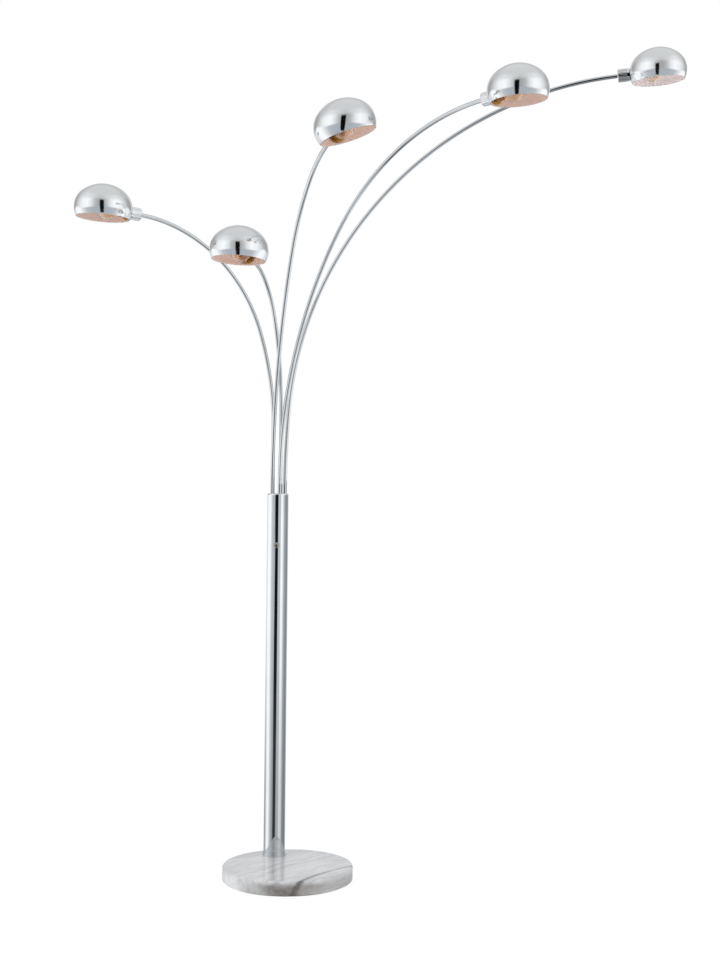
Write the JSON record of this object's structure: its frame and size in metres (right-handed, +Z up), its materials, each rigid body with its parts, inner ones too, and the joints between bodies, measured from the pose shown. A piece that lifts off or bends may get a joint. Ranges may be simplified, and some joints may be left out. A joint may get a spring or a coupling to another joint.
{
  "type": "tree floor lamp",
  "caption": "Floor lamp with a round marble base, an upright chromed pole and a fan of curved swinging arms that each end in a turning dome shade.",
  "frame": {"origin": "centre of the round base's underside, on the floor", "axes": "+Z up; +X to the lamp's right, the way the longest arm reaches; +Y to the back, away from the shades"},
  "size_m": [1.3656, 0.683, 1.9038],
  "materials": {
    "felt": "pressed black felt",
    "polished_marble": "polished white marble with grey veins",
    "zinc_plated_steel": "bright zinc plate",
    "chromed_steel": "polished chrome plate",
    "chromed_shade": "polished chrome plate outside, pale enamel inside",
    "black_rubber": "matt",
    "black_moulding": "matt",
    "white_moulding": "matt",
    "wire_jacket": "soft jacket",
    "fibre_washer": "pressed fibre",
    "spring_steel": "oiled",
    "brown_moulding": "golden brown, glossy",
    "brass_plate": "bright",
    "bulb_cap_metal": "bright",
    "clear_glass": "clear"
  },
  "bodies": {
    "stand": {"base_felt": "felt", "marble_base": "polished_marble", "clamp_washer": "zinc_plated_steel", "clamp_nut": "zinc_plated_steel", "clamp_rod": "zinc_plated_steel", "pole_plug": "zinc_plated_steel", "pole_tube": "chromed_steel", "foot_ring": "chromed_steel", "top_cap": "chromed_steel", "wire_bush": "black_rubber", "dimmer_body": "black_moulding", "dimmer_nut": "zinc_plated_steel", "supply_wire": "wire_jacket", "dimmed_wire": "wire_jacket", "terminal_block": "white_moulding", "arm_washers": "fibre_washer", "arm_clips": "spring_steel"},
    "dimmer": {"dimmer_spindle": "zinc_plated_steel", "dimmer_knob": "chromed_steel"},
    "arm_1": {"arm_1_tube": "chromed_steel", "arm_1_lead": "wire_jacket"},
    "arm_1_head": {"arm_1_collar": "chromed_steel", "arm_1_lamp_holder": "brown_moulding", "arm_1_shade_ring": "brass_plate", "arm_1_shade": "chromed_shade", "arm_1_bulb_base": "bulb_cap_metal", "arm_1_bulb_glass": "clear_glass"},
    "arm_2": {"arm_2_tube": "chromed_steel", "arm_2_lead": "wire_jacket"},
    "arm_2_head": {"arm_2_collar": "chromed_steel", "arm_2_lamp_holder": "brown_moulding", "arm_2_shade_ring": "brass_plate", "arm_2_shade": "chromed_shade", "arm_2_bulb_base": "bulb_cap_metal", "arm_2_bulb_glass": "clear_glass"},
    "arm_3": {"arm_3_tube": "chromed_steel", "arm_3_lead": "wire_jacket"},
    "arm_3_head": {"arm_3_collar": "chromed_steel", "arm_3_lamp_holder": "brown_moulding", "arm_3_shade_ring": "brass_plate", "arm_3_shade": "chromed_shade", "arm_3_bulb_base": "bulb_cap_metal", "arm_3_bulb_glass": "clear_glass"},
    "arm_4": {"arm_4_tube": "chromed_steel", "arm_4_lead": "wire_jacket"},
    "arm_4_head": {"arm_4_collar": "chromed_steel", "arm_4_lamp_holder": "brown_moulding", "arm_4_shade_ring": "brass_plate", "arm_4_shade": "chromed_shade", "arm_4_bulb_base": "bulb_cap_metal", "arm_4_bulb_glass": "clear_glass"},
    "arm_5": {"arm_5_tube": "chromed_steel", "arm_5_lead": "wire_jacket"},
    "arm_5_head": {"arm_5_collar": "chromed_steel", "arm_5_lamp_holder": "brown_moulding", "arm_5_shade_ring": "brass_plate", "arm_5_shade": "chromed_shade", "arm_5_bulb_base": "bulb_cap_metal", "arm_5_bulb_glass": "clear_glass"}
  },
  "joints": [
    {"name": "dimmer_turn", "type": "hinge", "parent": "stand", "child": "dimmer", "pos_m": [-0.0368, 0.0607, 0.768], "axis": [0, 1, 0], "range_deg": [0, 270]},
    {"name": "arm_1_swing", "type": "hinge", "parent": "stand", "child": "arm_1", "pos_m": [-0.05015, 0.0983, 0.891], "axis": [0, 0, 1], "range_deg": [-40, 10]},
    {"name": "arm_1_shade_turn", "type": "hinge", "parent": "arm_1", "child": "arm_1_head", "pos_m": [-0.34071, -0.12871, 1.50934], "axis": [-0.7879, -0.6156, 0.0175], "range_deg": [-90, 90]},
    {"name": "arm_2_swing", "type": "hinge", "parent": "stand", "child": "arm_2", "pos_m": [-0.0317, 0.10429, 0.891], "axis": [0, 0, 1], "range_deg": [-20, 10]},
    {"name": "arm_2_shade_turn", "type": "hinge", "parent": "arm_2", "child": "arm_2_head", "pos_m": [-0.08759, -0.1478, 1.4083], "axis": [-0.2164, -0.9762, 0.0157], "range_deg": [-90, 90]},
    {"name": "arm_3_swing", "type": "hinge", "parent": "stand", "child": "arm_3", "pos_m": [-0.05015, 0.0789, 0.891], "axis": [0, 0, 1], "range_deg": [-5, 10]},
    {"name": "arm_3_shade_turn", "type": "hinge", "parent": "arm_3", "child": "arm_3_head", "pos_m": [0.09557, -0.38327, 1.61295], "axis": [0.3006, -0.9534, 0.0244], "range_deg": [-90, 90]},
    {"name": "arm_4_swing", "type": "hinge", "parent": "stand", "child": "arm_4", "pos_m": [-0.0317, 0.07291, 0.891], "axis": [0, 0, 1], "range_deg": [-15, 20]},
    {"name": "arm_4_shade_turn", "type": "hinge", "parent": "arm_4", "child": "arm_4_head", "pos_m": [0.40912, -0.36029, 1.704], "axis": [0.7132, -0.7009, 0.0087], "range_deg": [-90, 90]},
    {"name": "arm_5_swing", "type": "hinge", "parent": "stand", "child": "arm_5", "pos_m": [-0.0203, 0.0886, 0.891], "axis": [0, 0, 1], "range_deg": [-20, 40]},
    {"name": "arm_5_shade_turn", "type": "hinge", "parent": "arm_5", "child": "arm_5_head", "pos_m": [0.73857, -0.09079, 1.84556], "axis": [0.9717, -0.2297, 0.0558], "range_deg": [-90, 90]}
  ]
}
